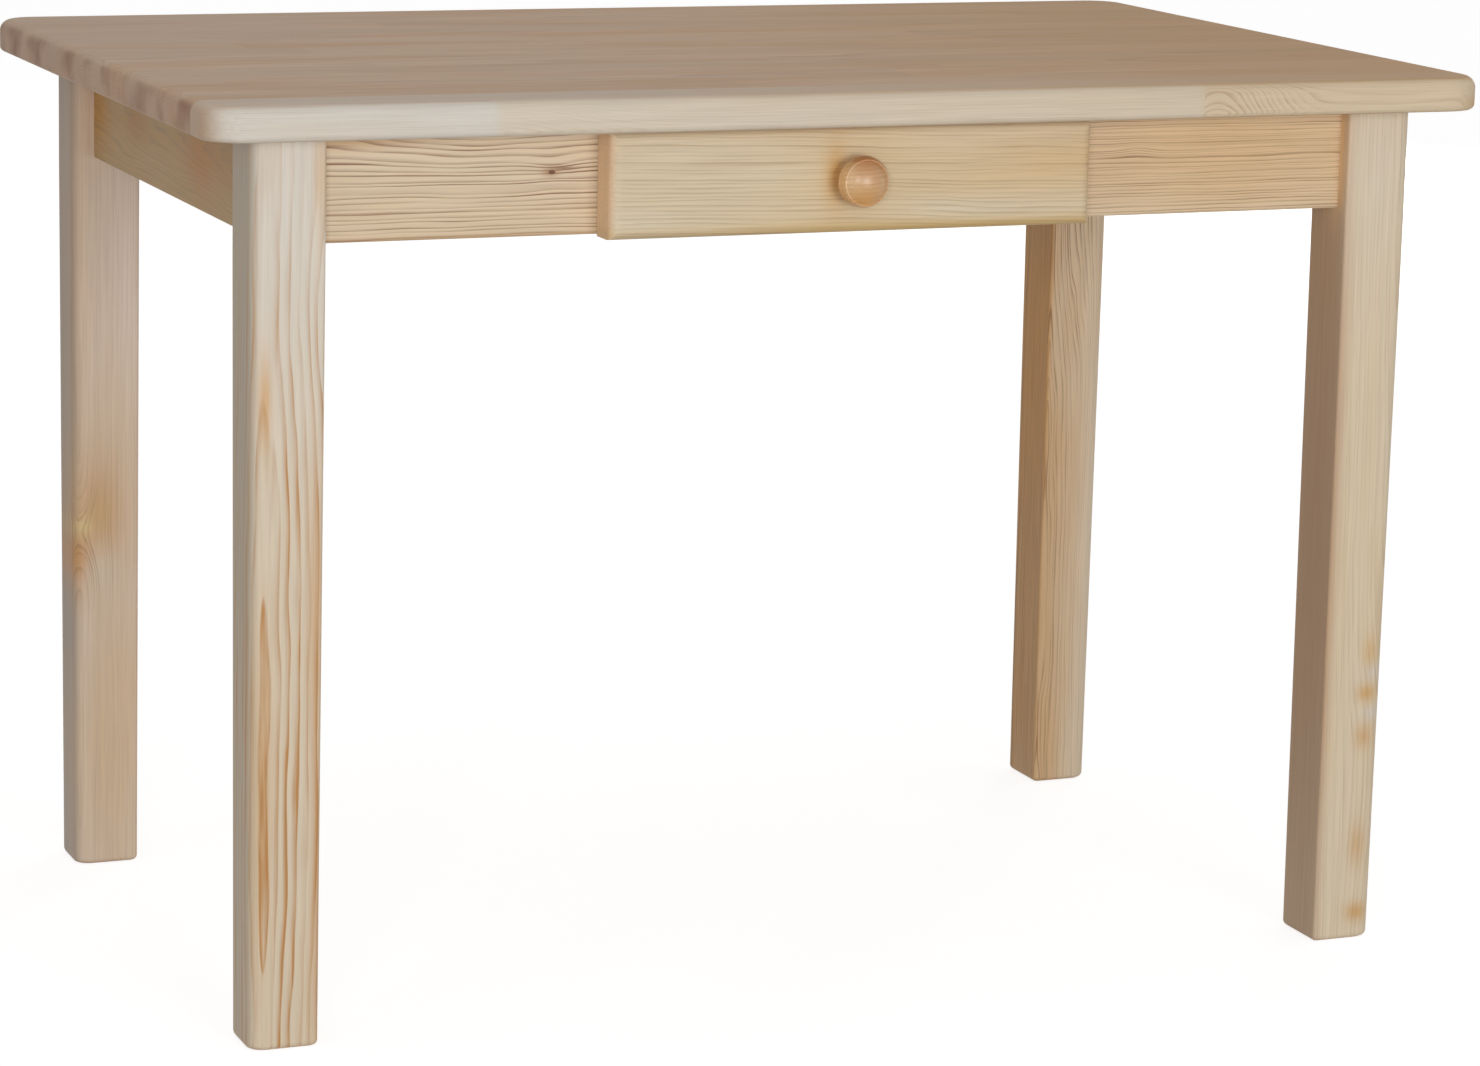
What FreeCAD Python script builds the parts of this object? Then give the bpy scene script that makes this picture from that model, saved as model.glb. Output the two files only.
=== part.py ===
import FreeCAD, Part
import math
import os

# A pine tavern table with one drawer, as the separate pieces that it is joined from.
# Millimetres. The origin is on the floor under the middle of the top, +X runs along the table,
# -Y is the drawer's side and +Z is up.

# Overall size
TABLE_LENGTH = 1100.0
TABLE_WIDTH = 700.0
TABLE_HEIGHT = 750.0

# Shared fits and rules
HOLE_GAP = 0.1            # room all round a screw, bolt or dowel in its hole
CUT_OVERRUN = 1.0         # how far a cutting shape reaches past the face that it cuts
FILLET_WALL_SHARE = 0.45  # the most of a wall that one rounded edge may take
SCREW_BITE_SHARE = 0.6    # how much of the last piece's thickness a screw goes into

# Top, glued up from staves that run its whole length
TOP_THICKNESS = 28.0
STAVE_COUNT = 14
TOP_CORNER_RADIUS = 34.0
TOP_UPPER_EDGE_RADIUS = 10.0
TOP_LOWER_EDGE_RADIUS = 5.0
TOP_OVERHANG_END = 46.0   # from the legs to the ends of the top
TOP_OVERHANG_SIDE = 45.0  # from the legs to the long edges of the top

# Legs, square down to just below the aprons and slightly tapered from there
LEG_SIZE = 60.0
FOOT_SIZE = 56.0
LEG_SQUARE_BELOW_APRON = 10.0
LEG_OUTER_EDGE_RADIUS = 12.0
LEG_INNER_EDGE_RADIUS = 3.0
FOOT_EDGE_RADIUS = 5.0
FOOT_EDGE_STEPS = 4       # flats that the foot's rounded edge is worked in
LEG_CORNER_FLAT = 12.0    # flat on the inner corner, measured along either face

# Aprons
APRON_HEIGHT = 86.0
APRON_THICKNESS = 22.0
APRON_EDGE_RADIUS = 2.0
LONG_APRON_SETBACK = 15.0  # front and back aprons, behind the legs' faces
END_APRON_SETBACK = 19.0
APRON_DOWEL_DIAMETER = 8.0
APRON_DOWEL_LENGTH = 40.0
APRON_DOWEL_HEIGHT_SHARES = (0.2, 0.48)

# Corner blocks with their hanger bolts
BLOCK_THICKNESS = 30.0
BLOCK_HEIGHT = 44.0
BLOCK_PULL_GAP = 0.5      # left open between block and leg, so that the bolt can draw up
BOLT_DIAMETER = 8.0
BOLT_BITE = 34.0
BOLT_TAIL = 4.0
NUT_ACROSS_FLATS = 13.0
NUT_HEIGHT = 6.5
WASHER_DIAMETER = 20.0
WASHER_THICKNESS = 1.6
BLOCK_SCREW_PLACE_SHARE = 0.45
BLOCK_SCREW_HEIGHT_SHARES = (0.2, 0.8)

# Wood screws
SCREW_DIAMETER = 4.0
SCREW_HEAD_DIAMETER = 8.0
SCREW_HEAD_HEIGHT = 3.0

# Cleats that hold the top to the end aprons
CLEAT_SIZE = 24.0
CLEAT_END_GAP = 10.0
CLEAT_SCREW_SHARES = (-0.45, 0.45)
TOP_SCREW_SHARES = (-0.85, 0.0, 0.85)

# Drawer front and the opening behind it
DRAWER_OFFSET = -11.0     # the drawer's middle, along the table
DRAWER_FRONT_WIDTH = 416.0
DRAWER_FRONT_THICKNESS = 30.0
DRAWER_FRONT_EDGE_RADIUS = 8.0
DRAWER_FRONT_TOP_GAP = 2.0
DRAWER_FRONT_DROP = 1.5   # below the front apron's lower edge
DRAWER_FRONT_APRON_GAP = 0.5
DRAWER_FRONT_OVERLAP = 19.0
OPENING_STRIP_HEIGHT = 20.0
OPENING_SIDE_GAP = 2.0

# Runners and guide strips
RUNNER_WIDTH = 40.0
RUNNER_THICKNESS = 16.0
RUNNER_RISE = 1.0         # above the strip under the opening
RUNNER_DOWEL_DIAMETER = 6.0
RUNNER_DOWEL_LENGTH = 30.0
GUIDE_WIDTH = 18.0
GUIDE_HEIGHT = 26.0
GUIDE_GAP = 1.0
RUNNING_GAP = 0.3

# Drawer box
DRAWER_DEPTH = 420.0
DRAWER_TOP_GAP = 4.0
DRAWER_SIDE_THICKNESS = 12.0
DRAWER_INNER_FRONT_THICKNESS = 14.0
DRAWER_BACK_THICKNESS = 12.0
DRAWER_BOTTOM_THICKNESS = 4.0
GROOVE_RISE = 8.0
GROOVE_DEPTH = 5.0
GROOVE_GAP = 0.15
DRAWER_DOWEL_DIAMETER = 6.0
DRAWER_DOWEL_LENGTH = 28.0
DRAWER_DOWEL_SIDE_SHARE = 0.65
DRAWER_DOWEL_HEIGHT_SHARES = (0.35, 0.8)
FRONT_SCREW_PLACE_SHARES = (-0.8, 0.8)
FRONT_SCREW_HEIGHT_SHARES = (0.35, 0.8)
PIN_DIAMETER = 2.0
PIN_HEAD_DIAMETER = 5.0
PIN_HEAD_HEIGHT = 1.0
PIN_BITE = 14.0
PIN_PLACE_SHARES = (-0.7, 0.0, 0.7)

# Turned knob, from its foot on the drawer front outwards
KNOB_FOOT_DIAMETER = 22.0
KNOB_WAIST_DIAMETER = 18.0
KNOB_HEAD_DIAMETER = 41.5
KNOB_FACE_DIAMETER = 37.0
KNOB_WAIST_LENGTH = 4.0
KNOB_FLARE_LENGTH = 8.0
KNOB_RIM_LENGTH = 9.0     # from the widest place to the face's edge
KNOB_RIM_BULGE = 0.8      # how far the rim rounds out past a straight cone
KNOB_SHOULDER = 0.8       # fine step round the dome
KNOB_DOME_HEIGHT = 8.0
KNOB_SCREW_DIAMETER = 4.0
KNOB_SCREW_HEAD_DIAMETER = 8.0
KNOB_SCREW_HEAD_HEIGHT = 2.5
KNOB_SCREW_BITE = 12.0

# Places worked out from the sizes
UNDERSIDE_Z = TABLE_HEIGHT - TOP_THICKNESS
APRON_BOTTOM_Z = UNDERSIDE_Z - APRON_HEIGHT
LEG_OUT_X = TABLE_LENGTH / 2 - TOP_OVERHANG_END
LEG_OUT_Y = TABLE_WIDTH / 2 - TOP_OVERHANG_SIDE
LEG_IN_X = LEG_OUT_X - LEG_SIZE
LEG_IN_Y = LEG_OUT_Y - LEG_SIZE
LONG_APRON_OUT_Y = LEG_OUT_Y - LONG_APRON_SETBACK
LONG_APRON_IN_Y = LONG_APRON_OUT_Y - APRON_THICKNESS
END_APRON_OUT_X = LEG_OUT_X - END_APRON_SETBACK
END_APRON_IN_X = END_APRON_OUT_X - APRON_THICKNESS

X_AXIS = FreeCAD.Vector(1, 0, 0)
Y_AXIS = FreeCAD.Vector(0, 1, 0)
Z_AXIS = FreeCAD.Vector(0, 0, 1)
FLOOR_CENTRE = FreeCAD.Vector(0, 0, 0)
CORNERS = {
    "front_left": (-1, -1),
    "front_right": (1, -1),
    "back_left": (-1, 1),
    "back_right": (1, 1),
}
SIDES = {"left": -1, "right": 1}
ENDS = (-1, 1)

pieces = {}


def block(x_ends, y_ends, z_ends):
    """Rectangular block between pairs of end values, given in either order."""
    low = FreeCAD.Vector(min(x_ends), min(y_ends), min(z_ends))
    high = FreeCAD.Vector(max(x_ends), max(y_ends), max(z_ends))
    size = high - low
    return Part.makeBox(size.x, size.y, size.z, low)


def rod(start, direction, diameter, length):
    """Round bar from a point along a direction."""
    return Part.makeCylinder(diameter / 2, length, start, direction)


def screw(seat, direction, length, diameter, head_diameter, head_height):
    """Screw with the outer face of its head at seat, pointing along direction."""
    head = rod(seat, direction, head_diameter, head_height)
    return head.fuse(rod(seat, direction, diameter, length))


def screw_hole(seat, direction, length, diameter, head_diameter, head_height, overrun=CUT_OVERRUN):
    """Hole with room for that screw, open from overrun outside its head."""
    mouth = seat - direction * overrun
    head = rod(mouth, direction, head_diameter + 2 * HOLE_GAP, head_height + overrun)
    return head.fuse(rod(seat, direction, diameter + 2 * HOLE_GAP, length))


def wood_screw(seat, direction, length):
    return screw(seat, direction, length, SCREW_DIAMETER, SCREW_HEAD_DIAMETER, SCREW_HEAD_HEIGHT)


def wood_screw_hole(seat, direction, length, overrun=CUT_OVERRUN):
    sizes = (length, SCREW_DIAMETER, SCREW_HEAD_DIAMETER, SCREW_HEAD_HEIGHT)
    return screw_hole(seat, direction, *sizes, overrun)


def to_corner(shape, signs):
    """The shape, modelled at the back right corner, mirrored to another corner of the table."""
    for sign, normal in zip(signs, (X_AXIS, Y_AXIS)):
        if sign < 0:
            shape = shape.mirror(FLOOR_CENTRE, normal)
    return shape


def cut(names, tools):
    """Cut the tools out of each named piece."""
    for name in names:
        pieces[name] = pieces[name].cut(tools)


def round_edges(solid, radius, wall, wanted):
    """Round the edges that wanted accepts, by no more than their wall allows."""
    edges = [edge for edge in solid.Edges if wanted(edge.BoundBox)]
    return solid.makeFillet(min(radius, wall * FILLET_WALL_SHARE), edges)


def at_height(z):
    """Test for an edge that lies level at a height."""
    return lambda box: abs(box.ZMin - z) < HOLE_GAP and abs(box.ZMax - z) < HOLE_GAP


# Top: one rounded panel, sawn along its glue lines into staves
def make_top():
    panel = block((-TABLE_LENGTH / 2, TABLE_LENGTH / 2), (-TABLE_WIDTH / 2, TABLE_WIDTH / 2),
                  (UNDERSIDE_Z, TABLE_HEIGHT))
    stave_width = TABLE_WIDTH / STAVE_COUNT
    panel = round_edges(panel, TOP_CORNER_RADIUS, TABLE_WIDTH, lambda box: box.ZLength > TOP_THICKNESS / 2)
    panel = round_edges(panel, TOP_UPPER_EDGE_RADIUS, TOP_THICKNESS, at_height(TABLE_HEIGHT))
    panel = round_edges(panel, TOP_LOWER_EDGE_RADIUS, TOP_THICKNESS, at_height(UNDERSIDE_Z))
    for number in range(STAVE_COUNT):
        front_y = -TABLE_WIDTH / 2 + number * stave_width
        strip = block((-TABLE_LENGTH, TABLE_LENGTH), (front_y, front_y + stave_width),
                      (UNDERSIDE_Z - CUT_OVERRUN, TABLE_HEIGHT + CUT_OVERRUN))
        pieces["top_stave_%02d" % (number + 1)] = panel.common(strip)


# Legs: the section is a square whose two outer corners are rounder than its two inner ones
def leg_section(size, z):
    middle_x = LEG_OUT_X - LEG_SIZE / 2
    middle_y = LEG_OUT_Y - LEG_SIZE / 2
    half = size / 2
    points = []
    for out_x, out_y, radius in ((1, -1, LEG_OUTER_EDGE_RADIUS), (1, 1, LEG_OUTER_EDGE_RADIUS),
                                 (-1, 1, LEG_INNER_EDGE_RADIUS), (-1, -1, LEG_INNER_EDGE_RADIUS)):
        corner = FreeCAD.Vector(middle_x + out_x * half, middle_y + out_y * half, z)
        along_x = FreeCAD.Vector(-out_x * radius, 0, 0)
        along_y = FreeCAD.Vector(0, -out_y * radius, 0)
        bulge = (along_x + along_y) * (1 - math.sqrt(0.5))
        ends = [corner + along_x, corner + along_y]
        if out_x * out_y > 0:
            ends.reverse()
        points.append((ends[0], corner + bulge, ends[1]))
    edges = []
    for number, (start, middle, end) in enumerate(points):
        edges.append(Part.Arc(start, middle, end).toShape())
        edges.append(Part.makeLine(end, points[(number + 1) % len(points)][0]))
    return Part.Wire(edges)


def make_leg():
    square_z = APRON_BOTTOM_Z - LEG_SQUARE_BELOW_APRON
    upper = Part.Face(leg_section(LEG_SIZE, square_z)).extrude(Z_AXIS * (UNDERSIDE_Z - square_z))
    sections = []
    for step in range(FOOT_EDGE_STEPS + 1):
        turn = math.radians(90 * step / FOOT_EDGE_STEPS)
        inset = FOOT_EDGE_RADIUS * (1 - math.sin(turn))
        rise = FOOT_EDGE_RADIUS * (1 - math.cos(turn))
        sections.append(leg_section(FOOT_SIZE - 2 * inset, rise))
    sections.append(leg_section(LEG_SIZE, square_z))
    return upper.fuse(Part.makeLoft(sections, True, True))


# Corner block: the bolt's line runs through the leg's inner corner, and sum_xy is x + y along it
FLAT_SUM = LEG_IN_X + LEG_IN_Y + LEG_CORNER_FLAT
BLOCK_OUT_SUM = FLAT_SUM - BLOCK_PULL_GAP * math.sqrt(2)
BLOCK_IN_SUM = BLOCK_OUT_SUM - BLOCK_THICKNESS * math.sqrt(2)
BLOCK_BOTTOM_Z = UNDERSIDE_Z - BLOCK_HEIGHT
BOLT_Z = UNDERSIDE_Z - BLOCK_HEIGHT / 2
BOLT_AXIS = FreeCAD.Vector(1, 1, 0).normalize()


def bolt_point(sum_xy):
    """Point on the hanger bolt's line where x and y add up to sum_xy."""
    skew = LEG_IN_X - LEG_IN_Y
    return FreeCAD.Vector((sum_xy + skew) / 2, (sum_xy - skew) / 2, BOLT_Z)


def prism(outline, z, height):
    """Solid that stands on an outline of x, y points."""
    points = [FreeCAD.Vector(x, y, z) for x, y in outline]
    return Part.Face(Part.makePolygon(points + points[:1])).extrude(Z_AXIS * height)


def make_corner_flat():
    """The wood cut away from a leg's inner corner, from the apron's bottom up."""
    reach = LEG_CORNER_FLAT + CUT_OVERRUN
    outline = [(LEG_IN_X - CUT_OVERRUN, LEG_IN_Y - CUT_OVERRUN), (LEG_IN_X + reach, LEG_IN_Y - CUT_OVERRUN),
               (LEG_IN_X - CUT_OVERRUN, LEG_IN_Y + reach)]
    return prism(outline, APRON_BOTTOM_Z, APRON_HEIGHT + CUT_OVERRUN)


def make_corner_block():
    outline = [(END_APRON_IN_X, BLOCK_OUT_SUM - END_APRON_IN_X),
               (BLOCK_OUT_SUM - LONG_APRON_IN_Y, LONG_APRON_IN_Y),
               (BLOCK_IN_SUM - LONG_APRON_IN_Y, LONG_APRON_IN_Y),
               (END_APRON_IN_X, BLOCK_IN_SUM - END_APRON_IN_X)]
    return prism(outline, BLOCK_BOTTOM_Z, BLOCK_HEIGHT)


def make_hanger_bolt():
    """Bolt, washer and nut, and the hole that the bolt needs."""
    stack = WASHER_THICKNESS + NUT_HEIGHT
    start = bolt_point(BLOCK_IN_SUM) - BOLT_AXIS * (stack + BOLT_TAIL)
    length = BOLT_TAIL + stack + BLOCK_THICKNESS + BLOCK_PULL_GAP + BOLT_BITE
    hole = rod(start, BOLT_AXIS, BOLT_DIAMETER + 2 * HOLE_GAP, length)
    washer_start = bolt_point(BLOCK_IN_SUM) - BOLT_AXIS * WASHER_THICKNESS
    washer = rod(washer_start, BOLT_AXIS, WASHER_DIAMETER, WASHER_THICKNESS).cut(hole)
    across = FreeCAD.Vector(-1, 1, 0).normalize()
    point_reach = NUT_ACROSS_FLATS / math.sqrt(3)
    nut_start = washer_start - BOLT_AXIS * NUT_HEIGHT
    turns = [math.radians(60 * side) for side in range(6)]
    rim = [nut_start + (across * math.cos(turn) + Z_AXIS * math.sin(turn)) * point_reach for turn in turns]
    nut = Part.Face(Part.makePolygon(rim + rim[:1])).extrude(BOLT_AXIS * NUT_HEIGHT).cut(hole)
    return rod(start, BOLT_AXIS, BOLT_DIAMETER, length), washer, nut, hole


def block_screw_places():
    """Seat, direction and length of each screw from a corner block into its two aprons."""
    places = []
    seat_sum = BLOCK_IN_SUM + SCREW_HEAD_DIAMETER / 2
    bite = APRON_THICKNESS * SCREW_BITE_SHARE
    for share in BLOCK_SCREW_HEIGHT_SHARES:
        z = BLOCK_BOTTOM_Z + share * BLOCK_HEIGHT
        along = BLOCK_SCREW_PLACE_SHARE * BLOCK_THICKNESS * math.sqrt(2)
        x = BLOCK_IN_SUM - LONG_APRON_IN_Y + along
        y = BLOCK_IN_SUM - END_APRON_IN_X + along
        places.append((FreeCAD.Vector(x, seat_sum - x, z), Y_AXIS, LONG_APRON_IN_Y - (seat_sum - x) + bite))
        places.append((FreeCAD.Vector(seat_sum - y, y, z), X_AXIS, END_APRON_IN_X - (seat_sum - y) + bite))
    return places


def apron_dowel_places():
    """Start and direction of each dowel between a leg and its two aprons."""
    places = []
    for share in APRON_DOWEL_HEIGHT_SHARES:
        z = APRON_BOTTOM_Z + share * APRON_HEIGHT
        long_apron = FreeCAD.Vector(LEG_IN_X, LONG_APRON_IN_Y + APRON_THICKNESS / 2, z)
        end_apron = FreeCAD.Vector(END_APRON_IN_X + APRON_THICKNESS / 2, LEG_IN_Y, z)
        places.append((long_apron - X_AXIS * (APRON_DOWEL_LENGTH / 2), X_AXIS))
        places.append((end_apron - Y_AXIS * (APRON_DOWEL_LENGTH / 2), Y_AXIS))
    return places


# Aprons: square-ended boards between the legs, with their lower edges eased
def make_aprons():
    heights = (APRON_BOTTOM_Z, UNDERSIDE_Z)
    for name, sign in (("apron_front", -1), ("apron_back", 1)):
        board = block((-LEG_IN_X, LEG_IN_X), (sign * LONG_APRON_IN_Y, sign * LONG_APRON_OUT_Y), heights)
        pieces[name] = ease_lower_edges(board, board.BoundBox.XLength)
    for name, sign in (("apron_left", -1), ("apron_right", 1)):
        board = block((sign * END_APRON_IN_X, sign * END_APRON_OUT_X), (-LEG_IN_Y, LEG_IN_Y), heights)
        pieces[name] = ease_lower_edges(board, board.BoundBox.YLength)


def ease_lower_edges(board, length):
    """Round the two long lower edges of an apron."""
    level = at_height(APRON_BOTTOM_Z)
    long_edge = lambda box: level(box) and max(box.XLength, box.YLength) > length - HOLE_GAP
    return round_edges(board, APRON_EDGE_RADIUS, APRON_THICKNESS, long_edge)


# Corners: leg, block, bolt and dowels, modelled once and mirrored to the other three
def make_corners():
    leg = make_leg().cut(make_corner_flat())
    corner_block = make_corner_block()
    bolt, washer, nut, bolt_hole = make_hanger_bolt()
    leg = leg.cut(bolt_hole)
    corner_block = corner_block.cut(bolt_hole)
    screws = []
    screw_holes = []
    for seat, direction, length in block_screw_places():
        screws.append(wood_screw(seat, direction, length))
        screw_holes.append(wood_screw_hole(seat, direction, length, SCREW_HEAD_DIAMETER))
    corner_block = corner_block.cut(screw_holes)
    dowels = []
    dowel_holes = []
    for start, direction in apron_dowel_places():
        dowels.append(rod(start, direction, APRON_DOWEL_DIAMETER, APRON_DOWEL_LENGTH))
        dowel_holes.append(rod(start, direction, APRON_DOWEL_DIAMETER + 2 * HOLE_GAP, APRON_DOWEL_LENGTH))
    leg = leg.cut(dowel_holes)
    groups = {"corner_bolts": [bolt], "corner_washers": [washer], "corner_nuts": [nut],
              "corner_block_screws": screws, "apron_dowels": dowels}
    for corner, signs in CORNERS.items():
        pieces["leg_" + corner] = to_corner(leg, signs)
        pieces["corner_block_" + corner] = to_corner(corner_block, signs)
        long_apron, end_apron = ["apron_" + word for word in corner.split("_")]
        cut([long_apron, end_apron], [to_corner(hole, signs) for hole in screw_holes + dowel_holes])
    for name, members in groups.items():
        copies = [to_corner(member, signs) for signs in CORNERS.values() for member in members]
        pieces[name] = Part.makeCompound(copies)


# Cleats: a square batten along each end apron, screwed to the apron and up into the top
def make_cleats():
    staves = [name for name in pieces if name.startswith("top_stave")]
    half_length = BLOCK_IN_SUM - END_APRON_IN_X - CLEAT_END_GAP
    cleat_bottom_z = UNDERSIDE_Z - CLEAT_SIZE
    apron_screws = []
    top_screws = []
    for side, sign in SIDES.items():
        name = "top_cleat_" + side
        inner_x = sign * (END_APRON_IN_X - CLEAT_SIZE)
        pieces[name] = block((inner_x, sign * END_APRON_IN_X), (-half_length, half_length),
                             (cleat_bottom_z, UNDERSIDE_Z))
        length = CLEAT_SIZE + APRON_THICKNESS * SCREW_BITE_SHARE
        for share in CLEAT_SCREW_SHARES:
            seat = FreeCAD.Vector(inner_x, share * half_length, UNDERSIDE_Z - CLEAT_SIZE / 2)
            apron_screws.append(wood_screw(seat, X_AXIS * sign, length))
            cut([name, "apron_" + side], wood_screw_hole(seat, X_AXIS * sign, length))
        length = CLEAT_SIZE + TOP_THICKNESS * SCREW_BITE_SHARE
        for share in TOP_SCREW_SHARES:
            seat = FreeCAD.Vector(inner_x + sign * CLEAT_SIZE / 2, share * half_length, cleat_bottom_z)
            top_screws.append(wood_screw(seat, Z_AXIS, length))
            cut([name] + staves, wood_screw_hole(seat, Z_AXIS, length))
    pieces["cleat_screws"] = Part.makeCompound(apron_screws)
    pieces["top_screws"] = Part.makeCompound(top_screws)


# Drawer places: the box stands on the runners behind the opening in the front apron
DRAWER_FRONT_HALF = DRAWER_FRONT_WIDTH / 2
OPENING_HALF = DRAWER_FRONT_HALF - DRAWER_FRONT_OVERLAP
BOX_HALF = OPENING_HALF - OPENING_SIDE_GAP
BOX_INNER_HALF = BOX_HALF - DRAWER_SIDE_THICKNESS
OPENING_Z = APRON_BOTTOM_Z + OPENING_STRIP_HEIGHT
RUNNER_TOP_Z = OPENING_Z + RUNNER_RISE
BOX_BOTTOM_Z = RUNNER_TOP_Z + RUNNING_GAP
BOX_TOP_Z = UNDERSIDE_Z - DRAWER_TOP_GAP
BOX_HEIGHT = BOX_TOP_Z - BOX_BOTTOM_Z
FRONT_BACK_Y = -LONG_APRON_OUT_Y - DRAWER_FRONT_APRON_GAP
FRONT_FACE_Y = FRONT_BACK_Y - DRAWER_FRONT_THICKNESS
INNER_FRONT_IN_Y = FRONT_BACK_Y + DRAWER_INNER_FRONT_THICKNESS
BOX_BACK_Y = FRONT_BACK_Y + DRAWER_DEPTH
BACK_IN_Y = BOX_BACK_Y - DRAWER_BACK_THICKNESS
GROOVE_Z = BOX_BOTTOM_Z + GROOVE_RISE
GROOVE_TOP_Z = GROOVE_Z + DRAWER_BOTTOM_THICKNESS + 2 * GROOVE_GAP
FRONT_BOTTOM_Z = APRON_BOTTOM_Z - DRAWER_FRONT_DROP
FRONT_TOP_Z = UNDERSIDE_Z - DRAWER_FRONT_TOP_GAP
KNOB_Z = (FRONT_BOTTOM_Z + FRONT_TOP_Z) / 2


def drawer_x(place):
    """A place measured from the drawer's middle."""
    return DRAWER_OFFSET + place


def drawer_block(half, y_ends, z_ends):
    """Block that spans the drawer evenly about its middle."""
    return block((drawer_x(-half), drawer_x(half)), y_ends, z_ends)


# Opening, runners and guide strips: these stay with the table
def make_runners():
    opening = drawer_block(OPENING_HALF, (-LONG_APRON_OUT_Y - CUT_OVERRUN, -LONG_APRON_IN_Y + CUT_OVERRUN),
                           (OPENING_Z, UNDERSIDE_Z + CUT_OVERRUN))
    cut(["apron_front"], opening)
    lengthwise = (-LONG_APRON_IN_Y, LONG_APRON_IN_Y)
    dowels = []
    for side, sign in SIDES.items():
        guide_in = sign * (BOX_HALF + GUIDE_GAP)
        guide_out = guide_in + sign * GUIDE_WIDTH
        runner_in = guide_out - sign * RUNNER_WIDTH
        runner = "drawer_runner_" + side
        pieces[runner] = block((drawer_x(runner_in), drawer_x(guide_out)), lengthwise,
                               (RUNNER_TOP_Z - RUNNER_THICKNESS, RUNNER_TOP_Z))
        pieces["drawer_guide_" + side] = block((drawer_x(guide_in), drawer_x(guide_out)), lengthwise,
                                               (RUNNER_TOP_Z, RUNNER_TOP_Z + GUIDE_HEIGHT))
        for end, apron in zip(ENDS, ("apron_front", "apron_back")):
            start = FreeCAD.Vector(drawer_x((runner_in + guide_out) / 2),
                                   end * (LONG_APRON_IN_Y - RUNNER_DOWEL_LENGTH / 2),
                                   RUNNER_TOP_Z - RUNNER_THICKNESS / 2)
            dowels.append(rod(start, Y_AXIS * end, RUNNER_DOWEL_DIAMETER, RUNNER_DOWEL_LENGTH))
            hole = rod(start, Y_AXIS * end, RUNNER_DOWEL_DIAMETER + 2 * HOLE_GAP, RUNNER_DOWEL_LENGTH)
            cut([runner, apron], hole)
    pieces["runner_dowels"] = Part.makeCompound(dowels)


# Drawer box: grooved sides with the inner front and the back dowelled between them
def make_drawer_box():
    heights = (BOX_BOTTOM_Z, BOX_TOP_Z)
    pieces["drawer_inner_front"] = drawer_block(BOX_INNER_HALF, (FRONT_BACK_Y, INNER_FRONT_IN_Y), heights)
    pieces["drawer_back"] = drawer_block(BOX_INNER_HALF, (BACK_IN_Y, BOX_BACK_Y), (GROOVE_TOP_Z, BOX_TOP_Z))
    groove = drawer_block(BOX_INNER_HALF + GROOVE_DEPTH,
                          (INNER_FRONT_IN_Y - GROOVE_DEPTH, BOX_BACK_Y + CUT_OVERRUN),
                          (GROOVE_Z, GROOVE_TOP_Z))
    bottom_half = BOX_INNER_HALF + GROOVE_DEPTH - GROOVE_GAP
    bottom_front_y = INNER_FRONT_IN_Y - GROOVE_DEPTH + GROOVE_GAP
    bottom_z = GROOVE_Z + GROOVE_GAP
    pieces["drawer_bottom"] = drawer_block(bottom_half, (bottom_front_y, BOX_BACK_Y),
                                           (bottom_z, bottom_z + DRAWER_BOTTOM_THICKNESS))
    dowels = []
    for side, sign in SIDES.items():
        name = "drawer_side_" + side
        pieces[name] = block((drawer_x(sign * BOX_INNER_HALF), drawer_x(sign * BOX_HALF)),
                             (FRONT_BACK_Y, BOX_BACK_Y), heights)
        start_x = drawer_x(sign * (BOX_INNER_HALF + DRAWER_DOWEL_SIDE_SHARE * DRAWER_SIDE_THICKNESS))
        for across, y in (("drawer_inner_front", (FRONT_BACK_Y + INNER_FRONT_IN_Y) / 2),
                          ("drawer_back", (BACK_IN_Y + BOX_BACK_Y) / 2)):
            for share in DRAWER_DOWEL_HEIGHT_SHARES:
                start = FreeCAD.Vector(start_x, y, BOX_BOTTOM_Z + share * BOX_HEIGHT)
                dowels.append(rod(start, X_AXIS * -sign, DRAWER_DOWEL_DIAMETER, DRAWER_DOWEL_LENGTH))
                hole = rod(start, X_AXIS * -sign, DRAWER_DOWEL_DIAMETER + 2 * HOLE_GAP, DRAWER_DOWEL_LENGTH)
                cut([name, across], hole)
        cut([name], groove)
    cut(["drawer_inner_front"], groove)
    pieces["drawer_dowels"] = Part.makeCompound(dowels)
    make_bottom_pins(bottom_z)


def make_bottom_pins(bottom_z):
    """Pins driven up through the drawer's bottom into its back, heads under the bottom."""
    pins = []
    length = PIN_HEAD_HEIGHT + DRAWER_BOTTOM_THICKNESS + PIN_BITE
    for share in PIN_PLACE_SHARES:
        seat = FreeCAD.Vector(drawer_x(share * BOX_INNER_HALF), (BACK_IN_Y + BOX_BACK_Y) / 2,
                              bottom_z - PIN_HEAD_HEIGHT)
        sizes = (length, PIN_DIAMETER, PIN_HEAD_DIAMETER, PIN_HEAD_HEIGHT)
        pins.append(screw(seat, Z_AXIS, *sizes))
        cut(["drawer_bottom", "drawer_back"], rod(seat, Z_AXIS, PIN_DIAMETER + 2 * HOLE_GAP, length))
    pieces["drawer_bottom_pins"] = Part.makeCompound(pins)


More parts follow.
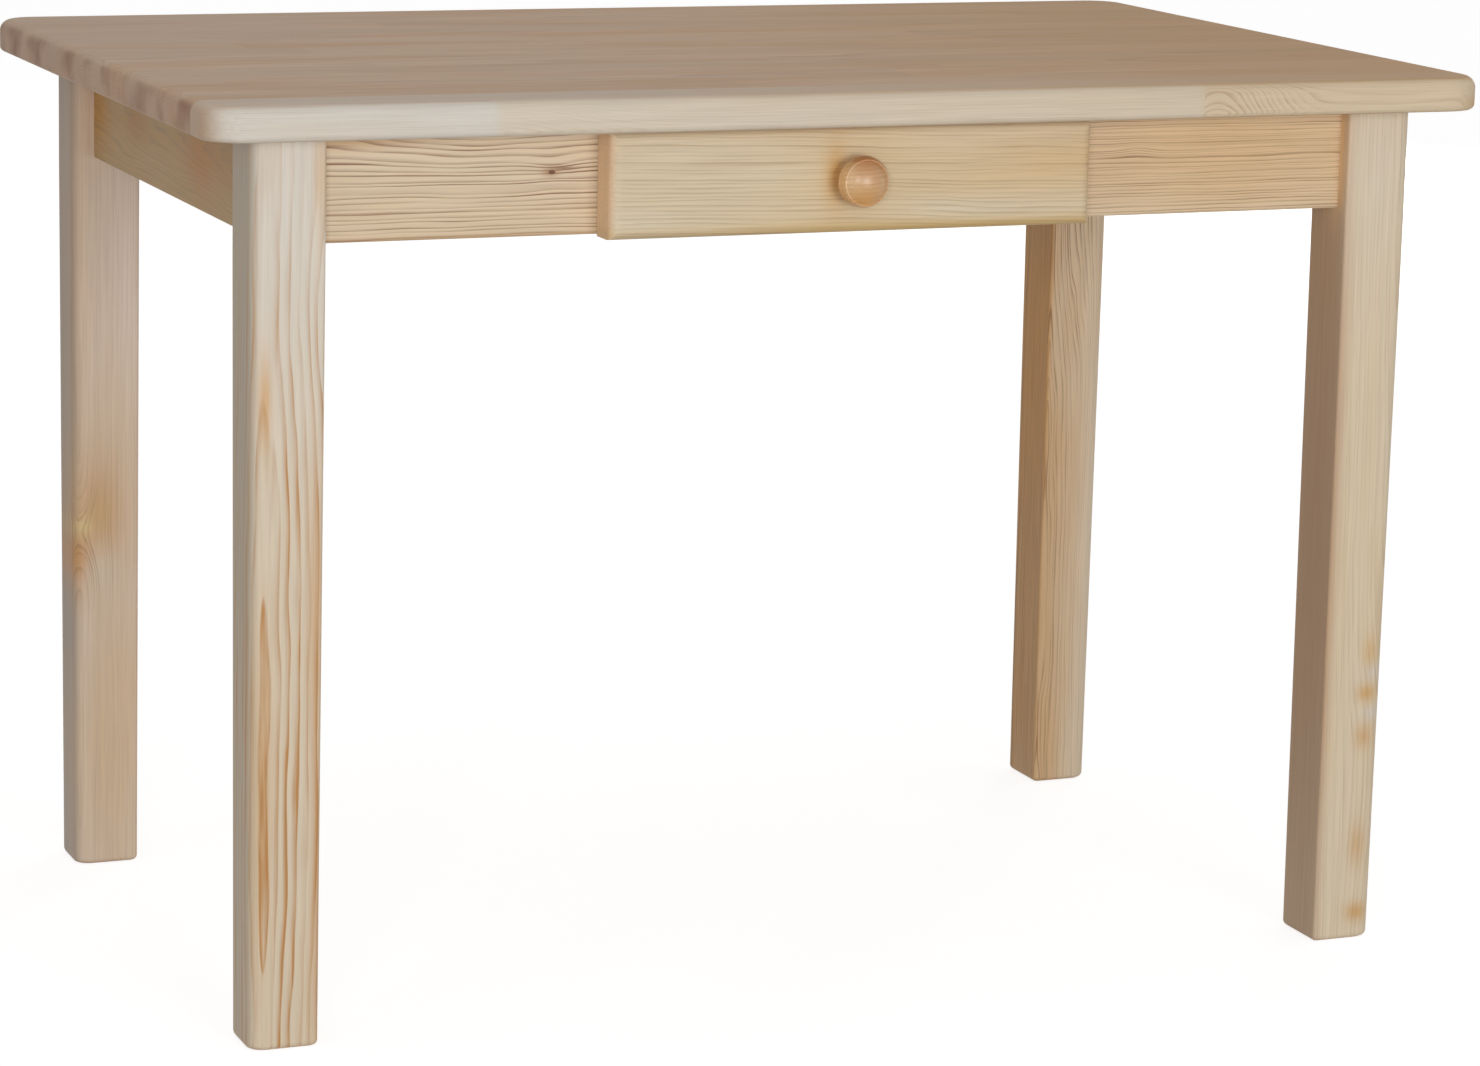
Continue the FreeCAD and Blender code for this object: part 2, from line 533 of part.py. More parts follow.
# Drawer front: a thick board that overlaps the opening, screwed on from inside the box
def make_drawer_front():
    board = drawer_block(DRAWER_FRONT_HALF, (FRONT_FACE_Y, FRONT_BACK_Y), (FRONT_BOTTOM_Z, FRONT_TOP_Z))
    on_face = lambda box: abs(box.YMax - FRONT_FACE_Y) < HOLE_GAP
    pieces["drawer_front"] = round_edges(board, DRAWER_FRONT_EDGE_RADIUS, DRAWER_FRONT_THICKNESS, on_face)
    length = DRAWER_INNER_FRONT_THICKNESS + DRAWER_FRONT_THICKNESS * SCREW_BITE_SHARE
    screws = []
    for place in FRONT_SCREW_PLACE_SHARES:
        for share in FRONT_SCREW_HEIGHT_SHARES:
            seat = FreeCAD.Vector(drawer_x(place * BOX_INNER_HALF), INNER_FRONT_IN_Y,
                                  BOX_BOTTOM_Z + share * BOX_HEIGHT)
            screws.append(wood_screw(seat, -Y_AXIS, length))
            cut(["drawer_inner_front", "drawer_front"], wood_screw_hole(seat, -Y_AXIS, length))
    pieces["drawer_front_screws"] = Part.makeCompound(screws)


# Knob: turned about the line through the middle of the drawer front, held by a screw from inside
def make_knob():
    flare_start = KNOB_WAIST_LENGTH
    rim_start = flare_start + KNOB_FLARE_LENGTH
    dome_start = rim_start + KNOB_RIM_LENGTH
    tip = dome_start + KNOB_DOME_HEIGHT
    head = KNOB_HEAD_DIAMETER / 2
    face = KNOB_FACE_DIAMETER / 2
    dome = face - KNOB_SHOULDER
    waist = KNOB_WAIST_DIAMETER / 2

    def at(radius, out):
        """Point of the turned profile, at a radius and a distance out from the drawer front."""
        return FreeCAD.Vector(drawer_x(radius), FRONT_FACE_Y - out, KNOB_Z)

    dome_radius = (dome ** 2 + KNOB_DOME_HEIGHT ** 2) / (2 * KNOB_DOME_HEIGHT)
    half_angle = math.asin(dome / dome_radius) / 2
    dome_middle = at(dome_radius * math.sin(half_angle), tip - dome_radius * (1 - math.cos(half_angle)))
    rim_middle = at((head + face) / 2 + KNOB_RIM_BULGE, (rim_start + dome_start) / 2)
    slant = math.sqrt(0.5)
    flare_middle = at(head - (head - waist) * slant, flare_start + KNOB_FLARE_LENGTH * slant)
    edges = [
        Part.makeLine(at(0, 0), at(KNOB_FOOT_DIAMETER / 2, 0)),
        Part.makeLine(at(KNOB_FOOT_DIAMETER / 2, 0), at(waist, flare_start)),
        Part.Arc(at(waist, flare_start), flare_middle, at(head, rim_start)).toShape(),
        Part.Arc(at(head, rim_start), rim_middle, at(face, dome_start)).toShape(),
        Part.makeLine(at(face, dome_start), at(dome, dome_start)),
        Part.Arc(at(dome, dome_start), dome_middle, at(0, tip)).toShape(),
        Part.makeLine(at(0, tip), at(0, 0)),
    ]
    pieces["drawer_knob"] = Part.Face(Part.Wire(edges)).revolve(at(0, 0), Y_AXIS, 360)
    seat = FreeCAD.Vector(DRAWER_OFFSET, INNER_FRONT_IN_Y + KNOB_SCREW_HEAD_HEIGHT, KNOB_Z)
    length = KNOB_SCREW_HEAD_HEIGHT + DRAWER_INNER_FRONT_THICKNESS + DRAWER_FRONT_THICKNESS + KNOB_SCREW_BITE
    sizes = (length, KNOB_SCREW_DIAMETER, KNOB_SCREW_HEAD_DIAMETER, KNOB_SCREW_HEAD_HEIGHT)
    pieces["drawer_knob_screw"] = screw(seat, -Y_AXIS, *sizes)
    hole = rod(seat, -Y_AXIS, KNOB_SCREW_DIAMETER + 2 * HOLE_GAP, length)
    cut(["drawer_inner_front", "drawer_front", "drawer_knob"], hole)


make_top()
make_aprons()
make_corners()
make_cleats()
make_runners()
make_drawer_box()
make_drawer_front()
make_knob()

os.makedirs("parts", exist_ok=True)
for piece_name, shape in pieces.items():
    shape.exportStep("parts/" + piece_name + ".step")
    print(piece_name, len(shape.Solids), shape.isValid(), round(shape.Volume))
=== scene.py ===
import math

import bpy
import numpy as np
from mathutils import Matrix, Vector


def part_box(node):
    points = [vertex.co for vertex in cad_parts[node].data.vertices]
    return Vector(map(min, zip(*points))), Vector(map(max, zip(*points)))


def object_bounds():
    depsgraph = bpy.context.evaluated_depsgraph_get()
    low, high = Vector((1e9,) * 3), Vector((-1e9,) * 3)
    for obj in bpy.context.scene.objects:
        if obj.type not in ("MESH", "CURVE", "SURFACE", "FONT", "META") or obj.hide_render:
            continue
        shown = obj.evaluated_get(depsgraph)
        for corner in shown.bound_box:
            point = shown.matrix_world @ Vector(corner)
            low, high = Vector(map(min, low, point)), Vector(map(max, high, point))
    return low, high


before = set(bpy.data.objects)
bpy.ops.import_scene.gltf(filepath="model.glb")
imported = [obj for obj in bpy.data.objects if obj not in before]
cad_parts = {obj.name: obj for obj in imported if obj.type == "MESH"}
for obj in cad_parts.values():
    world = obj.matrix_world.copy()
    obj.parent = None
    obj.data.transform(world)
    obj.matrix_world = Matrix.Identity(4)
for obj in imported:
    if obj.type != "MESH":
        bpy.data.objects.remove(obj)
cad_low, cad_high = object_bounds()

# Legs: four square posts of solid pine, planed, sanded and oiled, that taper a little to a rounded foot.
# The grain runs up the post, so each face is its own cut through the tree's yearly rings.
# Each is drawn into its corner by a hanger bolt, and the aprons are dowelled into it.
MM = 1000.0                  # millimetres in a metre: the wood's pattern is placed and sized in millimetres
ALONG_X, ALONG_Y, ALONG_Z = (1, 0, 0), (0, 1, 0), (0, 0, 1)


def linear(colour):
    """An sRGB hex colour as linear red, green, blue and a full alpha."""
    share = np.array([int(colour[place:place + 2], 16) for place in (1, 3, 5)]) / 255
    low = share / 12.92
    high = ((share + 0.055) / 1.055) ** 2.4
    return (*np.where(share > 0.04045, high, low), 1.0)


def add(tree, kind, settings, links, output=0):
    """Add a node, with its settings, a ramp's stops, and values, colours or other outputs in its inputs."""
    node = tree.nodes.new("ShaderNode" + kind)
    for name, value in settings.items():
        if name == "stops":
            elements = node.color_ramp.elements
            while len(elements) < len(value):
                elements.new(1.0)
            for element, (place, *shade) in zip(elements, value):
                element.position = place
                element.color = shade
        else:
            setattr(node, name, value)
    for name, value in links.items():
        if isinstance(value, bpy.types.NodeSocket):
            tree.links.new(value, node.inputs[name])
        elif isinstance(value, str):
            node.inputs[name].default_value = linear(value)
        else:
            node.inputs[name].default_value = value
    return node.outputs[output] if node.outputs else node


def start_material(name):
    """An empty material, its tree, and the shaded point in millimetres."""
    material = bpy.data.materials.new(name)
    material.use_nodes = True
    tree = material.node_tree
    tree.nodes.clear()
    place = add(tree, "TexCoord", {}, {}, "Object")
    return material, tree, add(tree, "VectorMath", {"operation": "SCALE"}, {0: place, "Scale": MM})


def hill(tree, point, place, reach):
    """A smooth hill of height 1 over a place: exp(-d * d), with d the distance as a share of its reach."""
    apart = add(tree, "VectorMath", {"operation": "SUBTRACT"}, {0: point, 1: place})
    share = add(tree, "VectorMath", {"operation": "DIVIDE"}, {0: apart, 1: reach})
    square = add(tree, "VectorMath", {"operation": "DOT_PRODUCT"}, {0: share, 1: share}, "Value")
    fall = add(tree, "Math", {"operation": "MULTIPLY"}, {0: square, 1: -1.0})
    return add(tree, "Math", {"operation": "EXPONENT"}, {0: fall})


def along_noise(tree, point, grain, width, share, detail, output):
    """Noise whose patches are width across the grain and width / share along it."""
    along = add(tree, "VectorMath", {"operation": "DOT_PRODUCT"}, {0: point, 1: grain}, "Value")
    shorten = tuple(axis * (share - 1) for axis in grain)
    squeezed = add(tree, "VectorMath", {"operation": "MULTIPLY_ADD"}, {0: along, 1: shorten, 2: point})
    return add(tree, "TexNoise", {}, {"Vector": squeezed, "Scale": 1 / width, "Detail": detail}, output)


NOISE_SWING = 0.25           # noise keeps mostly within this much of its middle
BEND_WIDTH = 60.0            # how far across the grain its slow bends reach
BEND_SHARE = 0.22            # that width as a share of how far they reach along the grain
RIPPLE_WIDTH = 14.0          # small ripples on the slow bends
RIPPLE_SHARE = 0.16


def ring_radius(tree, point, grain, pith, lean, wave, ripple, flares):
    """Distance of a point from the tree's pith, which leans by lean for each metre along the grain.

    Slow bends of up to wave and ripples of up to ripple are added to the point, and each flare, a place, a
    reach and a rise, adds a hill to the distance, as round a knot or where the trunk swells.
    """
    along = add(tree, "VectorMath", {"operation": "DOT_PRODUCT"}, {0: point, 1: grain}, "Value")
    slope = tuple(step / MM for step in lean)
    heart = add(tree, "VectorMath", {"operation": "MULTIPLY_ADD"}, {0: along, 1: slope, 2: pith})
    offset = add(tree, "VectorMath", {"operation": "SUBTRACT"}, {0: point, 1: heart})
    for width, share, size in ((BEND_WIDTH, BEND_SHARE, wave), (RIPPLE_WIDTH, RIPPLE_SHARE, ripple)):
        noise = along_noise(tree, point, grain, width, share, 1.0, "Color")
        swing = add(tree, "VectorMath", {"operation": "SUBTRACT"}, {0: noise, 1: (0.5, 0.5, 0.5)})
        swing = add(tree, "VectorMath", {"operation": "SCALE"}, {0: swing, "Scale": size / NOISE_SWING})
        offset = add(tree, "VectorMath", {"operation": "ADD"}, {0: offset, 1: swing})
    across = add(tree, "VectorMath", {"operation": "CROSS_PRODUCT"}, {0: offset, 1: grain})
    radius = add(tree, "VectorMath", {"operation": "LENGTH"}, {0: across}, "Value")
    for place, reach, rise in flares:
        bulge = hill(tree, point, place, reach)
        radius = add(tree, "Math", {"operation": "MULTIPLY_ADD"}, {0: bulge, 1: rise, 2: radius})
    return radius


SWAY_PACE = 0.45             # how quickly the width of the rings changes from year to year
EDGE_FADE = 0.06             # share of a year in which the line before it fades
HALF_WAY = 0.55              # share of the late wood in which it gets half dark
DARKEST = 0.95               # share of a year at which its line is darkest


def late_wood(tree, radius, ring, uneven, early):
    """How dark each year's growth is: pale early wood, then late wood that darkens to a sharp outer edge.

    The ring number is the whole part of radius / ring, swayed by uneven rings, and the rest of it runs
    through the year; early is the pale share. Each year's late wood has its own strength.
    """
    count = add(tree, "Math", {"operation": "DIVIDE"}, {0: radius, 1: ring})
    years = add(tree, "Math", {"operation": "MULTIPLY"}, {0: count, 1: SWAY_PACE})
    sway = add(tree, "TexNoise", {"noise_dimensions": "1D"}, {"W": years, "Scale": 1.0, "Detail": 1.0})
    sway_size = uneven / (2 * NOISE_SWING)
    phase = add(tree, "Math", {"operation": "MULTIPLY_ADD"}, {0: sway, 1: sway_size, 2: count})
    number = add(tree, "Math", {"operation": "FLOOR"}, {0: phase})
    share = add(tree, "Math", {"operation": "FRACT"}, {0: phase})
    luck = add(tree, "TexWhiteNoise", {"noise_dimensions": "1D"}, {"W": number}, "Value")
    strength = add(tree, "MapRange", {}, {"Value": luck, "To Min": 0.45, "To Max": 1.0})
    middle = early + HALF_WAY * (1 - early)
    levels = ((0.0, 0.35), (EDGE_FADE, 0.0), (early, 0.08), (middle, 0.55), (DARKEST, 1.0), (1.0, 0.55))
    stops = [(place, level, level, level, 1) for place, level in levels]
    dark = add(tree, "ValToRGB", {"stops": stops}, {"Fac": share})
    return add(tree, "Math", {"operation": "MULTIPLY"}, {0: dark, 1: strength})


STREAK_WIDTH = 5.0           # stretches in which a line fades or darkens
STREAK_SHARE = 0.05


def year_lines(tree, point, grain, pith, lean=(0, 0, 0), ring=3.6, uneven=0.6, early=0.5, wave=1.2,
               ripple=0.4, flares=(), line=0.7, bold=()):
    """How dark the lines are that the yearly rings draw on a piece: each fades and darkens along the grain.

    bold: (place, reach, share) each, where lines are that much stronger, or weaker below zero.
    """
    radius = ring_radius(tree, point, grain, pith, lean, wave, ripple, flares)
    dark = late_wood(tree, radius, ring, uneven, early)
    streak = along_noise(tree, point, grain, STREAK_WIDTH, STREAK_SHARE, 2.0, "Fac")
    force = add(tree, "MapRange", {}, {"Value": streak, "From Min": 0.3, "From Max": 0.7,
                                       "To Min": 0.25 * line, "To Max": 1.45 * line})
    for place, reach, share in bold:
        boost = add(tree, "Math", {"operation": "MULTIPLY"}, {0: hill(tree, point, place, reach), 1: share})
        force = add(tree, "Math", {"operation": "MULTIPLY_ADD"}, {0: boost, 1: force, 2: force})
    return add(tree, "Math", {"operation": "MULTIPLY", "use_clamp": True}, {0: dark, 1: force})


DRIFT_WIDTH = 45.0           # slow change from pale to warm wood
DRIFT_SHARE = 0.16


def ground_colour(tree, point, grain, sap="#DCC7A8", warm="#CFA274", warmth=0.5, patches=()):
    """The wood's colour between its lines: sap wood that drifts to warmer wood, with stained patches.

    patches: (place, reach, colour, share) each.
    """
    drift = along_noise(tree, point, grain, DRIFT_WIDTH, DRIFT_SHARE, 2.0, "Fac")
    warming = add(tree, "MapRange", {"interpolation_type": "SMOOTHSTEP"},
                  {"Value": drift, "From Min": 0.35, "From Max": 0.7, "To Max": warmth})
    colour = add(tree, "Mix", {"data_type": "RGBA"}, {0: warming, 6: sap, 7: warm}, 2)
    for place, reach, stain, share in patches:
        spread = add(tree, "Math", {"operation": "MULTIPLY"}, {0: hill(tree, point, place, reach), 1: share})
        colour = add(tree, "Mix", {"data_type": "RGBA"}, {0: spread, 6: colour, 7: stain}, 2)
    return colour


def with_knots(tree, point, grain, colour, knots):
    """The colour with knots: (place, the branch's axis, reach along the grain and across it, colour) each."""
    for place, axis, reach_along, reach_across, stain in knots:
        reach = [reach_along if step else reach_across for step in grain]
        reach = tuple(MM if step else size for step, size in zip(axis, reach))
        core = add(tree, "MapRange", {"interpolation_type": "SMOOTHSTEP"},
                   {"Value": hill(tree, point, place, reach), "From Min": 0.15, "From Max": 0.6})
        colour = add(tree, "Mix", {"data_type": "RGBA"}, {0: core, 6: colour, 7: stain}, 2)
    return colour


def facing(tree, way, start, full):
    """How far a face looks along a way or against it: 0 below start, 1 from full, as the angle's cosine."""
    normal = add(tree, "TexCoord", {}, {}, "Normal")
    cosine = add(tree, "VectorMath", {"operation": "DOT_PRODUCT"}, {0: normal, 1: way}, "Value")
    cosine = add(tree, "Math", {"operation": "ABSOLUTE"}, {0: cosine})
    return add(tree, "MapRange", {"interpolation_type": "SMOOTHSTEP"},
               {"Value": cosine, "From Min": start, "From Max": full})


FIBRE_WIDTH = 1.6            # real fibres are finer: drawn as coarse as they need to show
FIBRE_SHARE = 0.025
FIBRE_HEIGHT = 0.6           # how high a fibre stands, as a share of a line's height
GRAIN_RELIEF = 0.0002        # in metres
END_GRAIN = "#F4DFCC"        # sawn ends drink more oil and look redder: their colour is multiplied by this
END_LINES_SHARE = 0.5        # how much of the lines shows there
DULL_EARLY, SHINY_LATE = 0.04, -0.08    # added to the roughness of early and late wood
WAX_ROUGHNESS = 0.29         # a rubbed coat of wax, where a piece has one


def finish_pine(material, tree, point, grain, rings, ground, late="#AD7F50", knots=(), tone=1.0,
                end=END_GRAIN, rough=0.55, wax=0.0):
    """Pine: rings are the settings of its lines, ground those of its colour, late is the lines' colour."""
    sawn = facing(tree, grain, start=0.5, full=0.95)
    dark = year_lines(tree, point, grain, **rings)
    fade = add(tree, "MapRange", {}, {"Value": sawn, "To Min": 1.0, "To Max": END_LINES_SHARE})
    dark = add(tree, "Math", {"operation": "MULTIPLY"}, {0: dark, 1: fade})
    colour = ground_colour(tree, point, grain, **ground)
    colour = add(tree, "Mix", {"data_type": "RGBA"}, {0: dark, 6: colour, 7: late}, 2)
    colour = with_knots(tree, point, grain, colour, knots)
    fibre = along_noise(tree, point, grain, FIBRE_WIDTH, FIBRE_SHARE, 3.0, "Fac")
    shade = add(tree, "MapRange", {}, {"Value": fibre, "From Min": 0.5 - NOISE_SWING,
                                       "From Max": 0.5 + NOISE_SWING, "To Min": 0.93, "To Max": 1.06})
    shade = add(tree, "Math", {"operation": "MULTIPLY"}, {0: shade, 1: tone})
    colour = add(tree, "VectorMath", {"operation": "SCALE"}, {0: colour, "Scale": shade})
    colour = add(tree, "Mix", {"data_type": "RGBA", "blend_type": "MULTIPLY"},
                 {0: sawn, 6: colour, 7: end}, 2)

    # Hard late wood stands a little proud of the sanded early wood and shines a little more
    gloss = add(tree, "MapRange", {}, {"Value": dark, "To Min": rough + DULL_EARLY,
                                       "To Max": rough + SHINY_LATE})
    height = add(tree, "Math", {"operation": "MULTIPLY_ADD"}, {0: fibre, 1: FIBRE_HEIGHT, 2: dark})
    relief = add(tree, "Bump", {}, {"Strength": 0.25, "Distance": GRAIN_RELIEF, "Height": height})
    shader = add(tree, "BsdfPrincipled", {}, {"Base Color": colour, "Roughness": gloss, "Normal": relief,
                                              "Coat Weight": wax, "Coat Roughness": WAX_ROUGHNESS})
    add(tree, "OutputMaterial", {}, {"Surface": shader})
    return material


def pine(name, grain, rings, ground, **finish):
    """A piece of pine from a log of its own."""
    return finish_pine(*start_material(name), grain, rings, ground, **finish)


def dress(material, *names):
    """Give the named pieces of the table this material."""
    for name in names:
        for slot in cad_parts[name].material_slots:
            slot.material = material


# Where the right legs have their outer and inner sides and their middle, which the left legs mirror,
# and where the front and back legs have the faces that look to the front
leg_low, leg_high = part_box("leg_front_left")
OUTER_X, INNER_X = -leg_low.x * MM, -leg_high.x * MM
LEG_X, LEG_Y = (OUTER_X + INNER_X) / 2, -(leg_low.y + leg_high.y) / 2 * MM
FRONT_Y, BACK_Y = leg_low.y * MM, -leg_high.y * MM

# Oiled pine, planed: the front left leg is cut just outside its pith, which comes nearer further down,
# so two rings surface in its face as long orange tongues, with pale wood between and lines round them
BOW_Z = (370.0, 600.0)       # heights between which the pith bows away from the face
BOW_Y = (-304.0, -308.5)     # and how far
TONGUE_X = -492.0            # the tongues run up the face here
material, tree, point = start_material("planed_pine_leg_front_left")
height = add(tree, "SeparateXYZ", {}, {"Vector": point}, "Z")
bow = add(tree, "MapRange", {"interpolation_type": "SMOOTHSTEP"},
          {"Value": height, "From Min": BOW_Z[0], "From Max": BOW_Z[1],
           "To Min": BOW_Y[0], "To Max": BOW_Y[1]})
pith = add(tree, "CombineXYZ", {}, {"X": TONGUE_X, "Y": bow})
rings = dict(pith=pith, lean=(0, -21.2, 0), ring=7.4, uneven=0.0, early=0.42, wave=0.7, ripple=1.7, line=0.9,
             flares=[((TONGUE_X, FRONT_Y, 20), (90, 60, 100), 5.9),
                     ((-446, FRONT_Y, 575), (34, 60, 75), 8.0)],
             bold=[((-470, FRONT_Y, 720), (90, 200, 170), -0.65), ((-470, FRONT_Y, 200), (60, 60, 210), 0.6)])
ground = dict(sap="#E0D0B6", warm="#DCC4A2", warmth=0.4,
              patches=[((-LEG_X, FRONT_Y, 730), (90, 200, 300), "#E0D9CE", 0.9),
                       # painted shade: the outer side is made greyer and darker than the front, as shade
                       # falls on it
                       ((-OUTER_X, -LEG_Y, 350), (5, 300, 900), "#B5A893", 0.9),
                       ((TONGUE_X, FRONT_Y, 516), (5, 30, 36), "#D6A25C", 0.75),
                       ((-470, FRONT_Y, 120), (60, 60, 260), "#DCCCB4", 0.5),
                       ((TONGUE_X, FRONT_Y, 200), (7, 30, 140), "#D09E5C", 0.55),
                       ((-449, FRONT_Y, 690), (5, 60, 45), "#DDB98A", 0.6),
                       ((-451, FRONT_Y, 350), (7, 60, 110), "#CC9A60", 0.55),
                       ((-447, FRONT_Y, 120), (6, 60, 120), "#C68F55", 0.55)])
dress(finish_pine(material, tree, point, ALONG_Z, rings, ground, late="#BA8448"), "leg_front_left")

# Oiled pine, planed: close faint lines that bow round low orange flecks near the outer edge
rings = dict(pith=(530, -345, 0), lean=(-16, 6, 0), ring=3.0, uneven=1.0, wave=1.4, ripple=0.8, line=0.32,
             flares=[((488, FRONT_Y, 150), (24, 60, 110), 9.0)],
             bold=[((484, FRONT_Y, 150), (30, 60, 170), 0.8)])
ground = dict(sap="#E0CFB3", warm="#DDC39B", warmth=0.6,
              # painted shade: the inner side is darker and redder than the front, as shade falls on it
              patches=[((INNER_X, -LEG_Y, 350), (7, 80, 600), "#B88F6E", 0.85),
                       # painted light: the side is lighter just below the apron, against the shade under it
                       ((INNER_X, -LEG_Y, 600), (7, 80, 120), "#C9A27C", 0.7),
                       # painted light: a bright warm glow of light bounced off the apron, at the top front of
                       # the side
                       ((INNER_X, -LEG_Y - 10, 690), (7, 16, 60), "#F6CE98", 0.95),
                       ((LEG_X, FRONT_Y, 700), (60, 9, 160), "#E4D8C6", 0.6),
                       ((492, FRONT_Y, 236), (10, 30, 9), "#DAD0C2", 0.8),
                       ((492, FRONT_Y, 200), (10, 30, 8), "#DAD0C2", 0.8),
                       ((488, FRONT_Y, 254), (7, 30, 14), "#D4AC70", 0.65),
                       ((486, FRONT_Y, 218), (9, 30, 8), "#D0A05C", 0.8),
                       ((485, FRONT_Y, 180), (9, 30, 11), "#D2A672", 0.75),
                       ((484, FRONT_Y, 84), (8, 30, 20), "#D2A672", 0.7),
                       ((486, FRONT_Y, 24), (11, 30, 9), "#CE9C56", 0.8)])
dress(pine("planed_pine_leg_front_right", ALONG_Z, rings, ground, late="#A98560"), "leg_front_right")

# Oiled pine, planed: plain pinkish wood, with a warm cloud and swept lines round a knot just off its edge
rings = dict(pith=(-540, 205, 0), ring=2.4, uneven=1.0, wave=1.2, ripple=0.7, line=0.25,
             flares=[((-501, BACK_Y, 304), (22, 60, 32), 10.0)],
             bold=[((-494, BACK_Y, 290), (20, 60, 44), 3.5)])
ground = dict(sap="#E6D4C4", warm="#E0C5AA", warmth=0.6,
              # painted shade: the outer side is made greyer and darker than the front, as shade falls on it
              patches=[((-OUTER_X, LEG_Y, 350), (5, 300, 900), "#988C84", 0.9),
                       ((-482, BACK_Y, 322), (30, 60, 58), "#D0A062", 0.8),
                       ((-499, BACK_Y, 280), (9, 60, 24), "#CC8C46", 0.8),
                       ((-477, BACK_Y, 264), (16, 60, 24), "#E0CFBA", 0.8),
                       ((-495, BACK_Y, 308), (7, 60, 9), "#E6CE94", 0.9),
                       ((-500, BACK_Y, 560), (8, 60, 200), "#D6AE7E", 0.4),
                       ((-470, BACK_Y, 400), (40, 60, 70), "#DDC098", 0.35),
                       ((-470, BACK_Y, 100), (40, 60, 130), "#DDBC90", 0.7)])
dress(pine("planed_pine_leg_back_left", ALONG_Z, rings, ground, late="#A47A50"), "leg_back_left")

# Oiled pine, planed: heart wood on the inner side, a dark flame of lines near the top, pale sap wood outside
rings = dict(pith=(430, 190, 0), lean=(-20, 0, 0), ring=1.9, uneven=1.0, wave=1.8, ripple=1.0, line=0.65,
             flares=[((462, BACK_Y, 560), (26, 60, 130), 10.0)],
             bold=[((502, BACK_Y, 250), (24, 60, 300), -0.75), ((466, BACK_Y, 570), (22, 60, 120), 0.9),
                   ((INNER_X, LEG_Y, 200), (8, 80, 300), 0.9)])
ground = dict(sap="#EBD3B2", warm="#DDB27C", warmth=0.7,
              patches=[((INNER_X, LEG_Y, 350), (3, 80, 600), "#D69A50", 0.95),
                       ((454, BACK_Y, 200), (14, 60, 220), "#D8AE7C", 0.6),
                       ((500, BACK_Y, 250), (22, 60, 330), "#F0DEC6", 0.85)])
dress(pine("planed_pine_leg_back_right", ALONG_Z, rings, ground, late="#8A5A2C"), "leg_back_right")

# Aprons: four planed boards stood on edge between the legs, set back from their faces and dowelled in.
# The front one is cut out for the drawer: left of it the board lies close to its pith, so the lines open into
# a flame and bend round a pin knot, and right of it they run close and level.
APRON_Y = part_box("apron_front")[0].y * MM
KNOT_X, KNOT_Z = -257, 686
FLAME_PITH, LEVEL_PITH = (0, -262, 736), (0, -262, 768)
FLAME_RING, LEVEL_RING = 3.8, 2.6
FLAME_END, LEVEL_START = -190.0, 160.0
material, tree, point = start_material("planed_pine_apron_front")
board_x = add(tree, "SeparateXYZ", {}, {"Vector": point})
board_share = add(tree, "MapRange", {"interpolation_type": "SMOOTHSTEP"},
                  {"Value": board_x, "From Min": FLAME_END, "From Max": LEVEL_START})
board_pith = add(tree, "Mix", {"data_type": "VECTOR"}, {0: board_share, 4: FLAME_PITH, 5: LEVEL_PITH}, 1)
board_ring = add(tree, "Mix", {"data_type": "FLOAT"}, {0: board_share, 2: FLAME_RING, 3: LEVEL_RING})
rings = dict(pith=board_pith, ring=board_ring, uneven=0.9, early=0.5, wave=1.4, ripple=1.0, line=1.1,
             flares=[((-310, APRON_Y, 722), (105, 60, 44), -5.0), ((-446, APRON_Y, 718), (55, 60, 18), 6.0),
                     ((KNOT_X, APRON_Y, KNOT_Z + 7), (20, 40, 9), -3.4),
                     ((KNOT_X, APRON_Y, KNOT_Z - 8), (20, 40, 9), 1.6),
                     ((254, APRON_Y, 690), (18, 40, 8), 2.4)],
             bold=[((330, APRON_Y, 680), (150, 60, 90), -0.25),
                   ((KNOT_X + 10, APRON_Y, KNOT_Z + 4), (34, 40, 10), 0.7)])
ground = dict(sap="#E5D3B7", warm="#E0C49C", warmth=0.5,
              patches=[((330, APRON_Y, 690), (200, 40, 70), "#E0B882", 0.7),
                       ((-420, APRON_Y, 716), (60, 40, 8), "#D2A468", 0.6),
                       # painted shade: a darker brown line along the rounded lower edge of the left part
                       ((-330, APRON_Y, 636), (200, 40, 3), "#B98C58", 0.7),
                       ((KNOT_X + 9, APRON_Y, KNOT_Z + 3), (11, 40, 1.5), "#84552C", 0.8),
                       ((KNOT_X - 1, APRON_Y, KNOT_Z), (7, 40, 3.4), "#A9754A", 0.7)])
knots = [((KNOT_X, APRON_Y, KNOT_Z), ALONG_Y, 2.8, 1.7, "#6E4424")]
dress(finish_pine(material, tree, point, ALONG_X, rings, ground, late="#8C6038", knots=knots), "apron_front")

# Oiled pine, planed: the left board is darker, with swirled lines and orange clouds of resin
LEFT_BOARD_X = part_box("apron_left")[0].x * MM
rings = dict(pith=(-450, 0, 690), lean=(50, 0, 0), ring=3.6, wave=4.5, ripple=1.8, line=0.4)
ground = dict(sap="#BC9B6C", warm="#B48A50", warmth=0.8,
              patches=[((LEFT_BOARD_X, 222, 682), (40, 28, 30), "#C48A3C", 0.7),
                       ((LEFT_BOARD_X, -95, 676), (40, 44, 24), "#BC8040", 0.8),
                       ((LEFT_BOARD_X, 104, 690), (40, 32, 24), "#B07F40", 0.6)])
dress(pine("planed_pine_apron_left", ALONG_Y, rings, ground, late="#785A34"), "apron_left")

